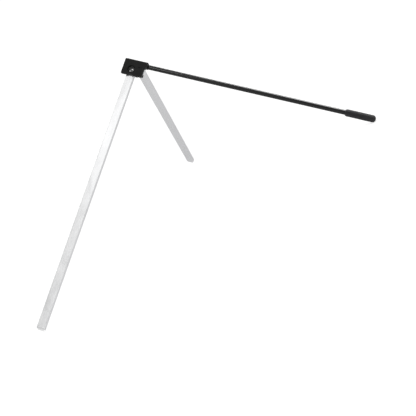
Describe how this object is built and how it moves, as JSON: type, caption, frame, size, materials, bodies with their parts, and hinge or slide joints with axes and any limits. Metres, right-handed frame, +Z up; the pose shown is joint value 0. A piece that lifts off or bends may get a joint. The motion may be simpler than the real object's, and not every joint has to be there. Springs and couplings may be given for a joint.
{
  "type": "folding three-point stand",
  "caption": "Folding stand: a black hinge head joins two flat aluminium legs and a round arm with a rubber grip; both legs fold flat along the arm.",
  "frame": {"origin": "middle of the rectangle round the footprint, at floor level", "axes": "+Z up; +Y away from the front face of the head, in plan, and along the rear leg's direction; +X to the right when the head's front face is looked at"},
  "size_m": [0.9396, 0.8368, 0.4229],
  "materials": {
    "head_plastic": "moulded, fine texture",
    "arm_black": "satin black",
    "grip_rubber": "matte",
    "leg_aluminium": "satin anodised",
    "foot_plastic": "moulded",
    "bright_steel": "polished",
    "dark_steel": "black oxide",
    "brass": "turned",
    "nylon": "natural"
  },
  "bodies": {
    "head": {"head_block": "head_plastic", "left_pivot_bolt": "bright_steel", "left_spring_washer": "dark_steel", "left_thread_insert": "brass", "left_front_friction_washer": "nylon", "left_rear_friction_washer": "nylon", "brake_screw": "dark_steel", "brake_pad": "nylon", "rear_pivot_bolt": "bright_steel", "rear_spring_washer": "dark_steel", "rear_pivot_nut": "bright_steel", "rear_upper_friction_washer": "nylon", "rear_lower_friction_washer": "nylon", "arm_tube": "arm_black", "arm_core_plug": "nylon", "arm_set_screw": "dark_steel", "arm_grip": "grip_rubber"},
    "left_leg": {"left_leg_tube": "leg_aluminium", "left_leg_hinge_insert": "leg_aluminium", "left_leg_bush": "dark_steel", "left_leg_foot": "foot_plastic"},
    "rear_leg": {"rear_leg_tube": "leg_aluminium", "rear_leg_hinge_insert": "leg_aluminium", "rear_leg_bush": "dark_steel", "rear_leg_foot": "foot_plastic"}
  },
  "joints": [
    {"name": "left_leg_hinge", "type": "hinge", "parent": "head", "child": "left_leg", "pos_m": [0.04767, -0.17133, 0.38722], "axis": [0, -0.8472, 0.5313], "range_deg": [0, 90]},
    {"name": "rear_leg_hinge", "type": "hinge", "parent": "head", "child": "rear_leg", "pos_m": [0.06551, -0.16115, 0.37098], "axis": [-0.7552, -0.3482, -0.5553], "range_deg": [0, 90]}
  ]
}
